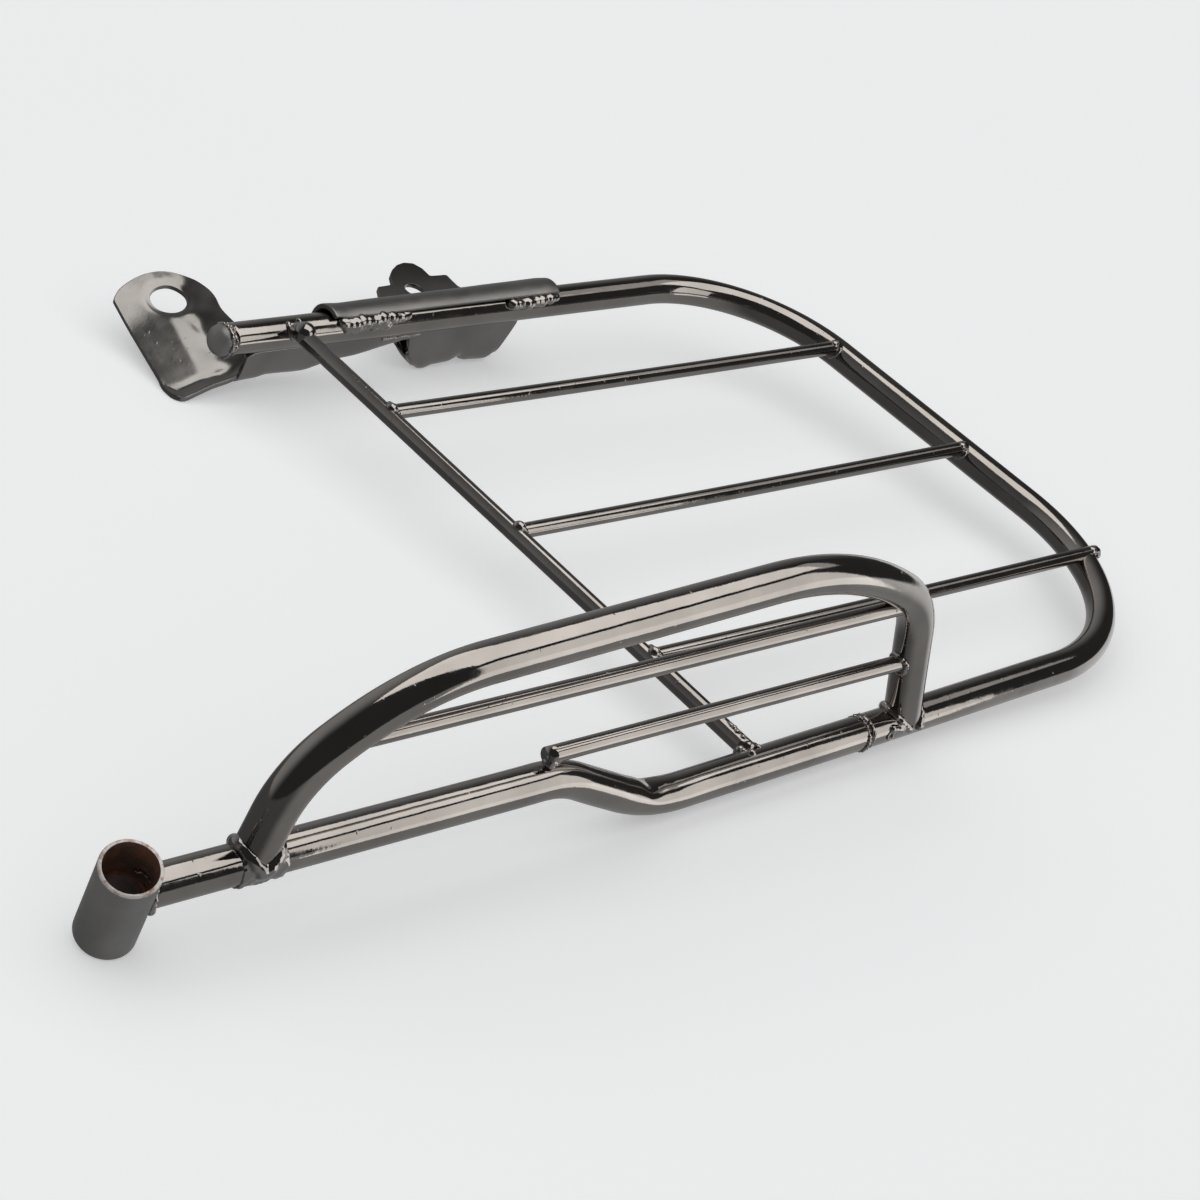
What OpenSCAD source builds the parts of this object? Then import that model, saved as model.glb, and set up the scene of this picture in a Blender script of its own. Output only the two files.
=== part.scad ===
/* [Tubes and rods] */
// Outer diameter of the rail and of the loop
tube_d = 12.7; // [12:0.1:13.5]
// Outer diameter of the hoop
hoop_d = 13.6; // [12.8:0.1:14.2]
// Wall thickness of every tube
tube_wall = 1.2; // [1:0.1:1.8]
// Diameter of the cross rod
cross_rod_d = 6.7; // [6:0.1:7.5]
// Diameter of the three grid rods
grid_rod_d = 5.9; // [5:0.1:6.5]
// Diameter of the two rods inside the hoop
hoop_rod_d = 5.9; // [5:0.1:6.5]

/* [Rail] */
// Height of the rail above the plane of the loop
rail_rise = 21.3; // [19:0.1:24]
// Where the rail starts to drop to the plane of the loop
drop_start = 171; // [165:1:178]
// Where the rail reaches the plane of the loop
drop_end = 218; // [212:1:226]
// Where the rail is butt-welded to the loop
seam_x = 331.5; // [325:0.5:336]

/* [Loop] */
// How far the end bend reaches along the rail
loop_reach = 540.6; // [520:0.1:560]
// Distance from the rail's line to the far side
loop_width = 272.2; // [260:0.1:290]
// Where the far side ends
far_side_start = 239.3; // [232:0.1:246]
// Bend radius of the near corner
near_bend_r = 87; // [75:1:95]
// Bend radius of the far corner
far_bend_r = 65; // [55:1:75]

/* [Grid] */
// Height of the rods above the plane of the loop
grid_rise = 4.35; // [4:0.05:5]
// Where the cross rod meets the near side
cross_rod_x = 272.8; // [268:0.1:278]
// Distance of the near grid rod from the rail's line
near_rod_y = 57.3; // [54:0.1:60]
// Distance of the middle grid rod from the rail's line
middle_rod_y = 133; // [128:0.5:138]
// Distance of the far grid rod from the rail's line
far_rod_y = 210.3; // [205:0.1:216]

/* [Hoop] */
// Where the left foot stands on the rail
hoop_left_x = 46; // [43:0.5:49]
// Where the right foot stands on the loop
hoop_right_x = 356.3; // [352:0.1:359]
// Height of the lower rod
lower_rod_z = 31.5; // [31:0.1:33]
// Height of the upper rod
upper_rod_z = 59; // [56:0.5:61]

/* [Bush] */
// Outer diameter of the mounting bush
bush_d = 18.8; // [18:0.1:20]
// Diameter of the bore
bush_bore_d = 14; // [13:0.1:14.5]
// Diameter of the wider top half of the bore
bush_mouth_d = 16; // [15.5:0.1:16.6]
// Depth of the wider top half
bush_mouth_depth = 16; // [8:0.5:20]
// Length of the bush
bush_length = 36.8; // [34:0.1:40]
// Length of the bush above the middle of the rail
bush_above = 15.3; // [13:0.1:17]

/* [Bracket] */
// Thickness of the sheet
sheet = 2; // [1.6:0.1:2.4]
// Diameter of the hole in the left ear
ear_hole_d = 14.5; // [12:0.1:15]
// Diameter of the hole in the rear lug
lug_hole_d = 9; // [8:0.1:10]
// Length of the saddle over the far side
saddle_length = 121; // [115:1:126]

/* [Hidden] */
$fn = 64;

paint = [0.09, 0.09, 0.1];
weld_paint = [0.14, 0.14, 0.15];
past = 1;            // how far a cutting shape runs past what it cuts
band_half = 0.4;     // half length of the band that joins a bend to its straight
band_rise = 0.02;    // how far that band stands proud
near_lean = 0.037;   // sideways lean of the near side, per millimetre along it
end_lean = -0.04;    // lean of the end tube, per millimetre across the loop
rest_tilt = [4.07, -1.04, 0];  // the lean at which the rack lies flat on its bush, rail, ear and lug

grid_rod_y = [near_rod_y, middle_rod_y, far_rod_y];

function unit(v) = v / norm(v);
function turn_at(p, i) = acos(unit(p[i] - p[i - 1]) * unit(p[i + 1] - p[i]));
function setback(p, r, i) = i == 0 || i == len(p) - 1 ? 0 : r[i] * tan(turn_at(p, i) / 2);
function near_y(x) = near_lean * (x - drop_end) - 2;
function end_x(y) = loop_reach + end_lean * (y - 10);
function cross_x(y) = cross_rod_x - 0.017 * y;

rail_path = [
  [0, 0, rail_rise],
  [drop_start, 0, rail_rise + 0.3],
  [drop_end, -2, 1],
  [seam_x, near_y(seam_x), 0]
];
rail_bends = [0, 50, 87, 0];
loop_path = [
  [seam_x, near_y(seam_x), 0],
  [end_x(10), near_y(loop_reach), 0],
  [end_x(loop_width), loop_width, 0],
  [far_side_start, loop_width, 0]
];
loop_bends = [0, near_bend_r, far_bend_r, 0];
hoop_path = [
  [hoop_left_x, 0, rail_rise],
  [hoop_left_x + 5.2, 0, 52.3],
  [hoop_left_x + 42.7, 0.3, 78.1],
  [hoop_right_x - 78, 1.9, 86.1],
  [hoop_right_x - 27.4, 2.3, 60.4],
  [hoop_right_x, near_y(hoop_right_x), 0]
];
hoop_bends = [0, 35.7, 96, 147, 44.5, 0];

bush_axis = unit([-0.219, -0.261, 0.94]);
bush_middle = [0, 0, rail_rise];
ear_hole = [245.1, 315.8, -9.9];
ear_across = unit([1, 0, 0.26]);
ear_normal = unit([-0.26, -0.18, 1]);
lug_hole = [361, 301, -9];
lip_y = 273;
strap_near_y = loop_width - 3;
strap_depth = 14;
saddle_x = 287.5;
saddle_r = 8.9;
saddle_middle = [loop_width + 0.5, 0.3];
saddle_edge_z = 5.9;  // height of the saddle's near edge, where it is welded to the tube

// Puts its children in a frame with the given origin, first axis and second axis
module place(o, x, y) {
  z = cross(x, y);
  multmatrix([[x.x, y.x, z.x, o.x], [x.y, y.y, z.y, o.y], [x.z, y.z, z.z, o.z]]) children();
}

// Puts its children at a point, with +Z along a direction
module aim(o, w) {
  side = unit(cross(w, abs(w.z) > 0.9 ? [1, 0, 0] : [0, 0, 1]));
  place(o, side, cross(w, side)) children();
}

// The whole rack is drawn with the loop level, then leaned to the way it lies on a floor
module at_rest() {
  rotate(rest_tilt) translate([0, 0, -rail_rise]) children();
}

module rod(p, q, d) {
  aim(p, unit(q - p)) cylinder(d = d, h = norm(q - p));
}

module cone(p, q, d1, d2) {
  aim(p, unit(q - p)) cylinder(d1 = d1, d2 = d2, h = norm(q - p));
}

module bend(p, r, i, d) {
  u = unit(p[i] - p[i - 1]);
  v = unit(p[i + 1] - p[i]);
  inward = unit(v - u * (u * v));
  start = p[i] - u * setback(p, r, i);
  place(start + inward * r[i], -inward, u)
    rotate_extrude(angle = turn_at(p, i)) translate([r[i], 0]) circle(d = d);
}

// A thin band over the line where a bend meets its straight
module band(p, r, i, d, side) {
  along = side < 0 ? unit(p[i] - p[i - 1]) : unit(p[i + 1] - p[i]);
  at = p[i] + along * side * setback(p, r, i);
  rod(at - along * band_half, at + along * band_half, d + 2 * band_rise);
}

// A solid bar of diameter d along a path with round bends
module bar(p, r, d) {
  for (i = [0 : len(p) - 2]) {
    u = unit(p[i + 1] - p[i]);
    rod(p[i] + u * setback(p, r, i), p[i + 1] - u * setback(p, r, i + 1), d);
  }
  for (i = [1 : len(p) - 2]) {
    bend(p, r, i, d);
    for (side = [-1, 1]) band(p, r, i, d, side);
  }
}

// The same bar, stretched past both of its ends for cutting
module bore_bar(p, r, d) {
  last = len(p) - 1;
  bar(p, r, d);
  rod(p[0] - unit(p[1] - p[0]) * past, p[0] + unit(p[1] - p[0]) * past, d + 0.02);
  rod(p[last] - unit(p[last] - p[last - 1]) * past, p[last] + unit(p[last] - p[last - 1]) * past, d + 0.02);
}

module tube(p, r, d) {
  difference() {
    bar(p, r, d);
    bore_bar(p, r, d - 2 * tube_wall);
  }
}

// Straight solids used to cope the ends of what is welded to them
module rail_straight() {
  rod([-5, 0, rail_rise], [drop_start - 15, 0, rail_rise + 0.27], tube_d);
}
module near_side() {
  rod([240, near_y(240), 0.8], [450, near_y(450), 0], tube_d);
}
module far_side() {
  rod([far_side_start - 5, loop_width, 0], [460, loop_width, 0], tube_d);
}
module end_side() {
  rod([end_x(20), 20, 0], [end_x(loop_width), loop_width, 0], tube_d);
}
module cross_bar() {
  near_end = near_y(270) + 5;
  far_end = loop_width - 5;
  rod([cross_x(near_end), near_end, grid_rise], [cross_x(far_end), far_end, grid_rise], cross_rod_d);
}
module grid_bar(y) {
  rod([cross_x(y), y, grid_rise], [end_x(y) - 4, y, grid_rise], grid_rod_d);
}
module lower_bar() {
  rod([162, 1.2, lower_rod_z], [hoop_right_x - 14, 1.9, lower_rod_z], hoop_rod_d);
}
module upper_bar() {
  rod([66, 1, upper_rod_z], [hoop_right_x - 27, 1.9, upper_rod_z + 0.4], hoop_rod_d);
}
module right_leg() {
  rod(hoop_path[4], hoop_path[5], hoop_d);
}
module bush_solid() {
  aim(bush_middle + bush_axis * (bush_above - bush_length), bush_axis) cylinder(d = bush_d, h = bush_length);
}

module rail_tube() color(paint) at_rest() difference() {
  tube(rail_path, rail_bends, tube_d);
  bush_solid();
}

module loop_tube() color(paint) at_rest() tube(loop_path, loop_bends, tube_d);

module loop_end_cap() color(paint) at_rest() {
  translate([far_side_start, loop_width, 0]) intersection() {
    rotate([0, -90, 0]) cylinder(d = tube_d, h = tube_d);
    translate([3, 0, 0]) sphere(d = 2 * 13);
  }
}

module hoop_tube() color(paint) at_rest() difference() {
  tube(hoop_path, hoop_bends, hoop_d);
  rail_straight();
  near_side();
}

module cross_rod() color(paint) at_rest() difference() {
  cross_bar();
  near_side();
  far_side();
}

module grid_rod(y) color(paint) at_rest() difference() {
  grid_bar(y);
  cross_bar();
  end_side();
}
module grid_rod_near() grid_rod(grid_rod_y[0]);
module grid_rod_middle() grid_rod(grid_rod_y[1]);
module grid_rod_far() grid_rod(grid_rod_y[2]);

module hoop_rod_lower() color(paint) at_rest() difference() {
  lower_bar();
  right_leg();
}

module hoop_rod_upper() color(paint) at_rest() difference() {
  upper_bar();
  bar(hoop_path, hoop_bends, hoop_d);
}

module mount_bush() color(paint) at_rest() aim(bush_middle, bush_axis) difference() {
  translate([0, 0, bush_above - bush_length]) cylinder(d = bush_d, h = bush_length);
  translate([0, 0, bush_above - bush_length - past]) cylinder(d = bush_bore_d, h = bush_length + 2 * past);
  translate([0, 0, bush_above - bush_mouth_depth]) cylinder(d = bush_mouth_d, h = bush_mouth_depth + past);
}

// The ear is cut from flat sheet, tilted so that its near corner meets the floor
module ear_plate() {
  place(ear_hole, ear_across, cross(ear_normal, ear_across)) difference() {
    translate([0, 0, -sheet]) linear_extrude(sheet)
      polygon([[-24, -47], [-27, -43.5], [-23, -14.6], [-19.2, 8], [-15, 12], [-7, 14.7], [0, 14.9],
               [6, 13.2], [10.8, 9.6], [14.4, 4.2], [16, -3], [15.6, -9.2], [14.5, -15], [14, -24],
               [17, -33], [21, -40], [21, -46]]);
    translate([0, 0, -sheet - past]) cylinder(d = ear_hole_d, h = sheet + 2 * past);
  }
}

// The strap follows the underside of the far side, from the ear up to where it is welded
module strap_plate() {
  top = [
    [234, -20.5], [243, -17.6], [252, -17.4], [262, -16.2],
    [279, -16.8], [300, -12.6], [329, -6.8], [337, -6.6]
  ];
  under = [for (i = [len(top) - 1 : -1 : 0]) top[i] - [0, sheet]];
  translate([0, strap_near_y + strap_depth, 0]) rotate([90, 0, 0])
    linear_extrude(strap_depth) polygon(concat(top, under));
}

module strap_with_ear() color(paint) at_rest() difference() {
  union() {
    ear_plate();
    strap_plate();
  }
  far_side();
}

// A flat tab behind the far side, a shelf under it and a lip that hangs to the floor
module rear_lug() color(paint) at_rest() {
  difference() {
    translate([0, 0, lug_hole.z]) linear_extrude(sheet) polygon([
      [337, lip_y], [392, lip_y], [392, 286], [384.5, 300], [384.5, 308.8], [375.5, 309.2], [374.6, 315.5],
      [369.7, 318.6], [364, 317.8], [360, 315.6], [355.8, 312], [352.5, 306], [344, 305.5], [337.5, 295]]);
    translate([lug_hole.x, lug_hole.y, lug_hole.z - past]) cylinder(d = lug_hole_d, h = sheet + 2 * past);
  }
  translate([0, lip_y + sheet, 0]) rotate([90, 0, 0]) linear_extrude(sheet) polygon([
    [335, -8], [338, -20], [343, -25.5], [346, -27.1], [351, -25.4], [360, -25.6], [365, -24.6],
    [368.5, -22.9], [372, -24.8], [376, -25.8], [388, -25.4], [391, -22], [394, -8]]);
}

module tube_saddle() color(paint) at_rest() difference() {
  translate([saddle_x, 0, 0]) rotate([90, 0, 90]) linear_extrude(saddle_length) difference() {
    union() {
      translate(saddle_middle) circle(r = saddle_r);
      translate([saddle_middle.x + saddle_r - sheet, -7]) square([sheet, saddle_middle.y + 7]);
    }
    translate(saddle_middle) circle(r = saddle_r - sheet);
    translate([saddle_middle.x - saddle_r - past, saddle_middle.y - 2 * saddle_r])
      square([2 * saddle_r - sheet + past, 2 * saddle_r]);
    translate([saddle_middle.x - saddle_r - past, saddle_edge_z - 2 * saddle_r])
      square([saddle_r + past, 2 * saddle_r]);
  }
  far_side();
}

module bush_weld() color(weld_paint) at_rest() difference() {
  cone([6, 0, rail_rise], [14, 0, rail_rise], tube_d + 5.5, tube_d + 0.6);
  rail_straight();
  bush_solid();
}

module seam_weld() color(weld_paint) at_rest() difference() {
  along = unit([1, near_lean, 0]);
  rod(loop_path[0] - along * 2.2, loop_path[0] + along * 2.2, tube_d + 1.4);
  rod(loop_path[0] - along * 9, loop_path[0] + along * 9, tube_d);
}

module end_cap_weld() color(weld_paint) at_rest() difference() {
  rod(loop_path[3] - [2, 0, 0], loop_path[3] + [2, 0, 0], tube_d + 1.6);
  rod(loop_path[3] - [9, 0, 0], loop_path[3] + [9, 0, 0], tube_d);
}

module hoop_left_weld() color(weld_paint) at_rest() difference() {
  cone(hoop_path[0], hoop_path[0] + [1.7, 0, 10], tube_d + 5, hoop_d + 0.8);
  bar([hoop_path[0], hoop_path[1], hoop_path[2]], [0, 35.7, 0], hoop_d);
  rail_straight();
}

module hoop_right_weld() color(weld_paint) at_rest() difference() {
  cone(hoop_path[5], hoop_path[5] + [-4.8, 0, 10.4], tube_d + 5, hoop_d + 0.8);
  right_leg();
  near_side();
}

module cross_rod_near_weld() color(weld_paint) at_rest() difference() {
  cone([cross_x(6), 5.5, grid_rise], [cross_x(24), 24, grid_rise], cross_rod_d + 5, cross_rod_d + 0.8);
  cross_bar();
  near_side();
}

module cross_rod_far_weld() color(weld_paint) at_rest() difference() {
  cone([cross_x(264), 266, grid_rise], [cross_x(256), 256, grid_rise], cross_rod_d + 6, cross_rod_d + 1);
  cross_bar();
  far_side();
}

module grid_rod_left_welds() color(weld_paint) at_rest() {
  for (y = grid_rod_y) difference() {
    cone([cross_x(y) + 1.5, y, grid_rise], [cross_x(y) + 6.5, y, grid_rise],
         grid_rod_d + 3, grid_rod_d + 0.6);
    grid_bar(y);
    cross_bar();
  }
}

module grid_rod_right_welds() color(weld_paint) at_rest() {
  for (y = grid_rod_y) difference() {
    cone([end_x(y) - 3, y, grid_rise], [end_x(y) - 10, y, grid_rise], grid_rod_d + 4, grid_rod_d + 0.6);
    grid_bar(y);
    end_side();
  }
}

module hoop_rod_lower_welds() color(weld_paint) at_rest() {
  difference() {
    cone([166, 1.2, rail_rise + 4.5], [166, 1.2, lower_rod_z], 5.2, 4.4);
    rail_straight();
    lower_bar();
  }
  difference() {
    cone([hoop_right_x - 15, 1.9, lower_rod_z], [hoop_right_x - 26, 1.9, lower_rod_z],
         hoop_rod_d + 4, hoop_rod_d + 0.6);
    lower_bar();
    right_leg();
  }
}

module hoop_rod_upper_welds() color(weld_paint) at_rest() {
  difference() {
    cone([68, 1, upper_rod_z], [86, 1, upper_rod_z], hoop_rod_d + 4, hoop_rod_d + 0.6);
    upper_bar();
    bar(hoop_path, hoop_bends, hoop_d);
  }
  difference() {
    cone([hoop_right_x - 31, 1.9, upper_rod_z + 0.4], [hoop_right_x - 42, 1.9, upper_rod_z + 0.4],
         hoop_rod_d + 4, hoop_rod_d + 0.6);
    upper_bar();
    bar(hoop_path, hoop_bends, hoop_d);
  }
}

// The bead fills the corner between the tube and the saddle's near edge
module saddle_bead(from, to) color(weld_paint) at_rest() difference() {
  rod([from, loop_width - 5.2, 4.5], [to, loop_width - 5.2, 4.5], 3.8);
  far_side();
  translate([from - past, loop_width - 10, saddle_edge_z]) cube([to - from + 2 * past, 20, 10]);
}
module saddle_weld_left() saddle_bead(290, 327);
module saddle_weld_right() saddle_bead(381, 408);

module strap_weld() color(weld_paint) at_rest() difference() {
  rod([318, loop_width - 4.6, -6.6], [337, loop_width - 4.6, -6.6], 3.4);
  far_side();
  strap_plate();
}

rail_tube();
loop_tube();
loop_end_cap();
hoop_tube();
cross_rod();
grid_rod_near();
grid_rod_middle();
grid_rod_far();
hoop_rod_lower();
hoop_rod_upper();
mount_bush();
strap_with_ear();
rear_lug();
tube_saddle();
bush_weld();
seam_weld();
end_cap_weld();
hoop_left_weld();
hoop_right_weld();
cross_rod_near_weld();
cross_rod_far_weld();
grid_rod_left_welds();
grid_rod_right_welds();
hoop_rod_lower_welds();
hoop_rod_upper_welds();
saddle_weld_left();
saddle_weld_right();
strap_weld();
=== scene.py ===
"""Looks for the welded side guard.

Smooth bent tubes, lumpy welds, a pressed sheet bracket and a gloss-black finish.
"""

import math
import random

import bmesh
import bpy
from mathutils import Matrix, Vector, noise


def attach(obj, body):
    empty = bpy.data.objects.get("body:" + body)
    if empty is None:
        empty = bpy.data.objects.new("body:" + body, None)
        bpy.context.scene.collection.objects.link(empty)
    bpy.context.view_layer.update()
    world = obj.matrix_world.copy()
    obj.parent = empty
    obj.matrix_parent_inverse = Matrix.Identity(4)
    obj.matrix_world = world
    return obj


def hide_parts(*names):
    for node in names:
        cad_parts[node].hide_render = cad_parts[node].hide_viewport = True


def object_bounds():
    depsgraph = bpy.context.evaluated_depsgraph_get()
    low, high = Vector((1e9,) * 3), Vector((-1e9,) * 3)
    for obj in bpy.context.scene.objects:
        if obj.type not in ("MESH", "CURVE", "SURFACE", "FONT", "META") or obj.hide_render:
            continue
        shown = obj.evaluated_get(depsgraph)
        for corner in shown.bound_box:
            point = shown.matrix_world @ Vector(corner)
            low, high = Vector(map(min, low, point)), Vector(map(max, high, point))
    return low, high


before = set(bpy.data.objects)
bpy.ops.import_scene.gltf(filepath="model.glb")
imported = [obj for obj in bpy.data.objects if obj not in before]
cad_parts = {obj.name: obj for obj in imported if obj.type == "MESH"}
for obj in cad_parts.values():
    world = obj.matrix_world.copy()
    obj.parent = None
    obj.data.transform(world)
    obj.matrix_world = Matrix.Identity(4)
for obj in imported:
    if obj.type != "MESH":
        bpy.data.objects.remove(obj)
cad_low, cad_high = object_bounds()

# ---------------------------------------------------------------- sizes, in millimetres, with the loop level
TUBE_R = 6.35
HOOP_R = 6.8
ROD_R = 2.95
CROSS_R = 3.35
BUSH_R = 9.4
SHEET = 2.0
EDGE_ROUND = 0.5
RAIL_RISE = 21.3
ROD_Z = 4.35
LOOP_WIDTH = 272.2
LOOP_REACH = 540.6
FAR_START = 239.3
SEAM_X = 331.5
CROSS_X = 272.8
GRID_Y = (57.3, 133.0, 210.3)
HOOP_LEFT_X = 46.0
HOOP_RIGHT_X = 356.3
LOWER_ROD_Z = 31.5
UPPER_ROD_Z = 59.0
NEAR_LEAN = 0.037
END_LEAN = -0.04

MM = 0.001
BUSH_AXIS = Vector((-0.219, -0.261, 0.94)).normalized()
X_AXIS, Y_AXIS, UP = Vector((1, 0, 0)), Vector((0, 1, 0)), Vector((0, 0, 1))

# The guard is laid out with its loop level, then leaned to the way it lies on the floor
REST = (
    Matrix.Rotation(math.radians(-1.04), 4, "Y")
    @ Matrix.Rotation(math.radians(4.07), 4, "X")
    @ Matrix.Translation((0, 0, -RAIL_RISE))
)


def near_y(x):
    """Middle line of the near side."""
    return NEAR_LEAN * (x - 218) - 2


def end_x(y):
    """Middle line of the end tube."""
    return LOOP_REACH + END_LEAN * (y - 10)


def cross_x(y):
    """Middle line of the cross rod."""
    return CROSS_X - 0.017 * y


RAIL = [(7.8, 0, RAIL_RISE), (171, 0, 21.6), (218, -2, 1), (SEAM_X, near_y(SEAM_X), 0)]
RAIL_BENDS = [50, 87]
LOOP = [
    (SEAM_X, near_y(SEAM_X), 0),
    (end_x(10), near_y(LOOP_REACH), 0),
    (end_x(LOOP_WIDTH), LOOP_WIDTH, 0),
    (FAR_START, LOOP_WIDTH, 0),
]
LOOP_BENDS = [87, 65]
HOOP = [
    (HOOP_LEFT_X, 0, RAIL_RISE),
    (HOOP_LEFT_X + 5.2, 0, 52.3),
    (HOOP_LEFT_X + 42.7, 0.3, 78.1),
    (HOOP_RIGHT_X - 78, 1.9, 86.1),
    (HOOP_RIGHT_X - 27.4, 2.3, 60.4),
    (HOOP_RIGHT_X, near_y(HOOP_RIGHT_X), 0),
]
HOOP_BENDS = [35.7, 96, 147, 44.5]


# ---------------------------------------------------------------- mesh helpers
def add(name, mesh, node, slot, *materials):
    """Links a mesh as a piece that rides with the guard and, where it has one, stands for its CAD node."""
    piece = bpy.data.objects.new(name, mesh)
    bpy.context.scene.collection.objects.link(piece)
    for material in materials:
        mesh.materials.append(material)
    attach(piece, "root")
    if node:
        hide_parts(node)
    return piece


def to_mesh(name, verts, faces):
    """A smooth mesh from millimetre points in the level layout, moved to where the guard lies."""
    mesh = bpy.data.meshes.new(name)
    mesh.from_pydata([(REST @ Vector(v)) * MM for v in verts], [], faces)
    mesh.update()
    mesh.shade_smooth()
    return mesh


def settle(piece):
    """Applies a piece's modifiers."""
    bpy.context.view_layer.update()
    evaluated = piece.evaluated_get(bpy.context.evaluated_depsgraph_get())
    mesh = bpy.data.meshes.new_from_object(evaluated)
    piece.modifiers.clear()
    piece.data = mesh
    mesh.shade_smooth()


def centreline(corners, bends, step=2.0):
    """Evenly spaced points along a path with round corners."""
    corners = [Vector(c) for c in corners]
    points = [corners[0]]
    for before, corner, after, radius in zip(corners, corners[1:], corners[2:], bends):
        u = (corner - before).normalized()
        v = (after - corner).normalized()
        turn = u.angle(v)
        inward = (v - u * u.dot(v)).normalized()
        centre = corner - u * radius * math.tan(turn / 2) + inward * radius
        count = max(3, math.ceil(math.degrees(turn)))
        for i in range(count + 1):
            a = turn * i / count
            points.append(centre + (u * math.sin(a) - inward * math.cos(a)) * radius)
    points.append(corners[-1])
    even = [points[0]]
    for a, b in zip(points, points[1:]):
        count = max(1, round((b - a).length / step))
        even += [a.lerp(b, i / count) for i in range(1, count + 1)]
    return even


def sweep(points, radius, sides=48, shape=None):
    """A closed round bar along points. shape(point, outward) scales the radius."""
    verts, faces = [], []
    along = (points[1] - points[0]).normalized()
    side = along.orthogonal().normalized()
    for i, p in enumerate(points):
        ahead = (points[min(i + 1, len(points) - 1)] - points[max(i - 1, 0)]).normalized()
        side = (side - ahead * side.dot(ahead)).normalized()
        other = ahead.cross(side)
        for j in range(sides):
            a = 2 * math.pi * j / sides
            outward = side * math.cos(a) + other * math.sin(a)
            scale = shape(p, outward) if shape else 1
            verts.append(p + outward * radius * scale)
    for i in range(len(points) - 1):
        for j in range(sides):
            k = (j + 1) % sides
            faces.append((i * sides + j, i * sides + k, (i + 1) * sides + k, (i + 1) * sides + j))
    faces.append(tuple(reversed(range(sides))))
    faces.append(tuple(range((len(points) - 1) * sides, len(points) * sides)))
    return verts, faces


def lathe(base, axis, profile, sides=96):
    """A turned shape: profile holds (distance along the axis, radius) pairs."""
    axis = Vector(axis).normalized()
    side = axis.orthogonal().normalized()
    other = axis.cross(side)
    verts, faces = [], []
    for along, radius in profile:
        for j in range(sides):
            a = 2 * math.pi * j / sides
            verts.append(Vector(base) + axis * along + (side * math.cos(a) + other * math.sin(a)) * radius)
    for i in range(len(profile) - 1):
        for j in range(sides):
            k = (j + 1) % sides
            faces.append((i * sides + j, i * sides + k, (i + 1) * sides + k, (i + 1) * sides + j))
    return verts, faces


# ---------------------------------------------------------------- materials
class Nodes:
    """A short way to build a node material."""

    def __init__(self, name):
        self.material = bpy.data.materials.new(name)
        self.material.use_nodes = True
        self.tree = self.material.node_tree
        self.shader = self.tree.nodes["Principled BSDF"]
        self.where = self.tree.nodes.new("ShaderNodeTexCoord").outputs["Object"]

    def link(self, a, b):
        """Joins an output to an input."""
        self.tree.links.new(a, b)

    def noise(self, scale, detail=3.0, rough=0.5):
        """Cloudy values that stay with the object."""
        n = self.tree.nodes.new("ShaderNodeTexNoise")
        n.inputs["Scale"].default_value = scale
        n.inputs["Detail"].default_value = detail
        n.inputs["Roughness"].default_value = rough
        self.link(self.where, n.inputs["Vector"])
        return n.outputs["Fac"]

    def ramp(self, value, low, high, start=0.0, end=1.0):
        """Stretches values between start and end to run from low to high."""
        n = self.tree.nodes.new("ShaderNodeMapRange")
        n.inputs["From Min"].default_value = start
        n.inputs["From Max"].default_value = end
        n.inputs["To Min"].default_value = low
        n.inputs["To Max"].default_value = high
        self.link(value, n.inputs["Value"])
        return n.outputs["Result"]

    def mix(self, factor, a, b):
        """Blends from one colour to another."""
        n = self.tree.nodes.new("ShaderNodeMix")
        n.data_type = "RGBA"
        self.link(factor, n.inputs["Factor"])
        for socket, value in ((n.inputs["A"], a), (n.inputs["B"], b)):
            if isinstance(value, tuple):
                socket.default_value = (*value, 1)
            else:
                self.link(value, socket)
        return n.outputs["Result"]

    def bump(self, height, distance, under=None):
        """Surface relief, laid over the relief under it."""
        n = self.tree.nodes.new("ShaderNodeBump")
        n.inputs["Strength"].default_value = 1.0
        n.inputs["Distance"].default_value = distance
        self.link(height, n.inputs["Height"])
        if under is not None:
            self.link(under, n.inputs["Normal"])
        return n.outputs["Normal"]


def gloss_black(name, tint, smooth, rough, peel, wave, speck=0.79, metal=1.0):
    """Black paint: faint waves, orange peel, uneven gloss, dust nibs and small dark brown chips."""
    m = Nodes(name)
    m.shader.inputs["Metallic"].default_value = metal
    patches = m.noise(38, 4)
    darker = tuple(c * 0.8 for c in tint)
    colour = m.mix(m.ramp(patches, 0, 1, 0.35, 0.68), tint, darker)
    chips = m.ramp(m.noise(420, 2, 0.4), 0, 1, speck, speck + 0.02)
    colour = m.mix(chips, colour, (0.1, 0.07, 0.055))
    m.link(colour, m.shader.inputs["Base Color"])
    m.link(m.ramp(m.noise(160, 3), smooth, rough, 0.35, 0.7), m.shader.inputs["Roughness"])
    waves = m.bump(m.noise(46, 2), wave)
    fine = m.bump(m.noise(700, 2), peel, under=waves)
    nibs = m.ramp(m.noise(520, 1, 0.3), 0, 1, 0.74, 0.82)
    m.link(m.bump(nibs, 0.00004, under=fine), m.shader.inputs["Normal"])
    return m.material


def bare_rim():
    """Filed steel face of the bush, with a rusty blush."""
    m = Nodes("bare_rim")
    m.shader.inputs["Metallic"].default_value = 0.55
    rust = m.ramp(m.noise(330, 4, 0.65), 0, 1, 0.5, 0.68)
    m.link(m.mix(rust, (0.66, 0.63, 0.6), (0.36, 0.2, 0.16)), m.shader.inputs["Base Color"])
    m.link(m.ramp(m.noise(900, 3), 0.3, 0.55), m.shader.inputs["Roughness"])
    m.link(m.bump(m.noise(1300, 3), 0.00012), m.shader.inputs["Normal"])
    return m.material


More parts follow.
